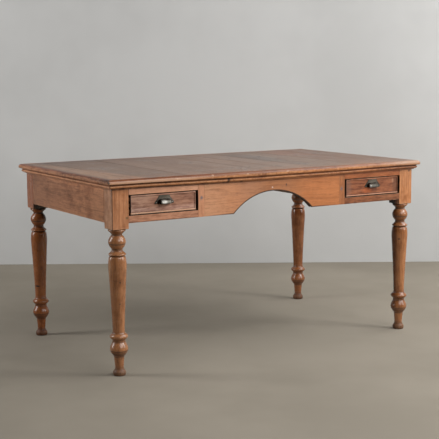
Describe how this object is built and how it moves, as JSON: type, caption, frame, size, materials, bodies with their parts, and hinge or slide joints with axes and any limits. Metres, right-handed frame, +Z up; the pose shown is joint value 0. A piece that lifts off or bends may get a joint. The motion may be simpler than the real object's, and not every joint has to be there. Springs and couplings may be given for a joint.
{
  "type": "writing table",
  "caption": "Old wooden writing table with an arched knee opening between small drawers with cup pulls, a plank top in a mitred edge moulding, and turned legs.",
  "frame": {"origin": "on the floor, under the middle of the top", "axes": "+X along the top's length, towards the right as seen from the front; -Y towards the front, where the drawers slide out; +Z up"},
  "size_m": [1.53, 0.9, 0.765],
  "materials": {
    "frame_wood": "orange-brown hardwood, oiled and waxed, worn, with dark stains at the joints",
    "leg_wood": "brown hardwood with a soft gloss, dirt in the turned hollows",
    "top_wood": "grey-brown weathered planks with a satin wax",
    "moulding_wood": "orange-brown hardwood, its edges worn pale, dirt in the hollows",
    "drawer_wood": "red-brown hardwood, satin",
    "inner_wood": "bare secondary wood, unfinished",
    "pewter": "grey cast metal, dull with a polished hood"
  },
  "bodies": {
    "frame": {"leg_front_left": "leg_wood", "leg_front_right": "leg_wood", "leg_back_left": "leg_wood", "leg_back_right": "leg_wood", "end_apron_left": "frame_wood", "end_apron_right": "frame_wood", "back_apron": "frame_wood", "arch_panel": "frame_wood", "stile_left": "frame_wood", "stile_right": "frame_wood", "upper_rail_left": "frame_wood", "upper_rail_right": "frame_wood", "lower_rail_left": "frame_wood", "lower_rail_right": "frame_wood", "lower_moulding_front": "moulding_wood", "lower_moulding_back": "moulding_wood", "lower_moulding_left": "moulding_wood", "lower_moulding_right": "moulding_wood", "edge_moulding_front": "moulding_wood", "edge_moulding_back": "moulding_wood", "edge_moulding_left": "moulding_wood", "edge_moulding_right": "moulding_wood", "top_board_1": "top_wood", "top_board_2": "top_wood", "top_board_3": "top_wood", "top_board_4": "top_wood", "top_board_5": "top_wood", "top_board_6": "top_wood", "top_board_7": "top_wood", "top_board_8": "top_wood", "top_bearer": "inner_wood", "kicker_left": "inner_wood", "kicker_right": "inner_wood", "runner_left_inner": "inner_wood", "runner_left_outer": "inner_wood", "runner_right_inner": "inner_wood", "runner_right_outer": "inner_wood", "drawer_stop_left": "inner_wood", "drawer_stop_right": "inner_wood", "glue_block_front_left": "inner_wood", "glue_block_front_right": "inner_wood", "glue_block_back_left": "inner_wood", "glue_block_back_right": "inner_wood", "glue_block_end_left": "inner_wood", "glue_block_end_right": "inner_wood"},
    "drawer_left": {"drawer_front_left": "drawer_wood", "drawer_side_left_inner": "inner_wood", "drawer_side_left_outer": "inner_wood", "drawer_back_left": "inner_wood", "drawer_bottom_left": "inner_wood", "cup_pull_left": "pewter"},
    "drawer_right": {"drawer_front_right": "drawer_wood", "drawer_side_right_inner": "inner_wood", "drawer_side_right_outer": "inner_wood", "drawer_back_right": "inner_wood", "drawer_bottom_right": "inner_wood", "cup_pull_right": "pewter"}
  },
  "joints": [
    {"name": "drawer_left_slide", "type": "slide", "parent": "frame", "child": "drawer_left", "axis": [0, -1, 0], "range_m": [0, 0.32]},
    {"name": "drawer_right_slide", "type": "slide", "parent": "frame", "child": "drawer_right", "axis": [0, -1, 0], "range_m": [0, 0.32]}
  ]
}
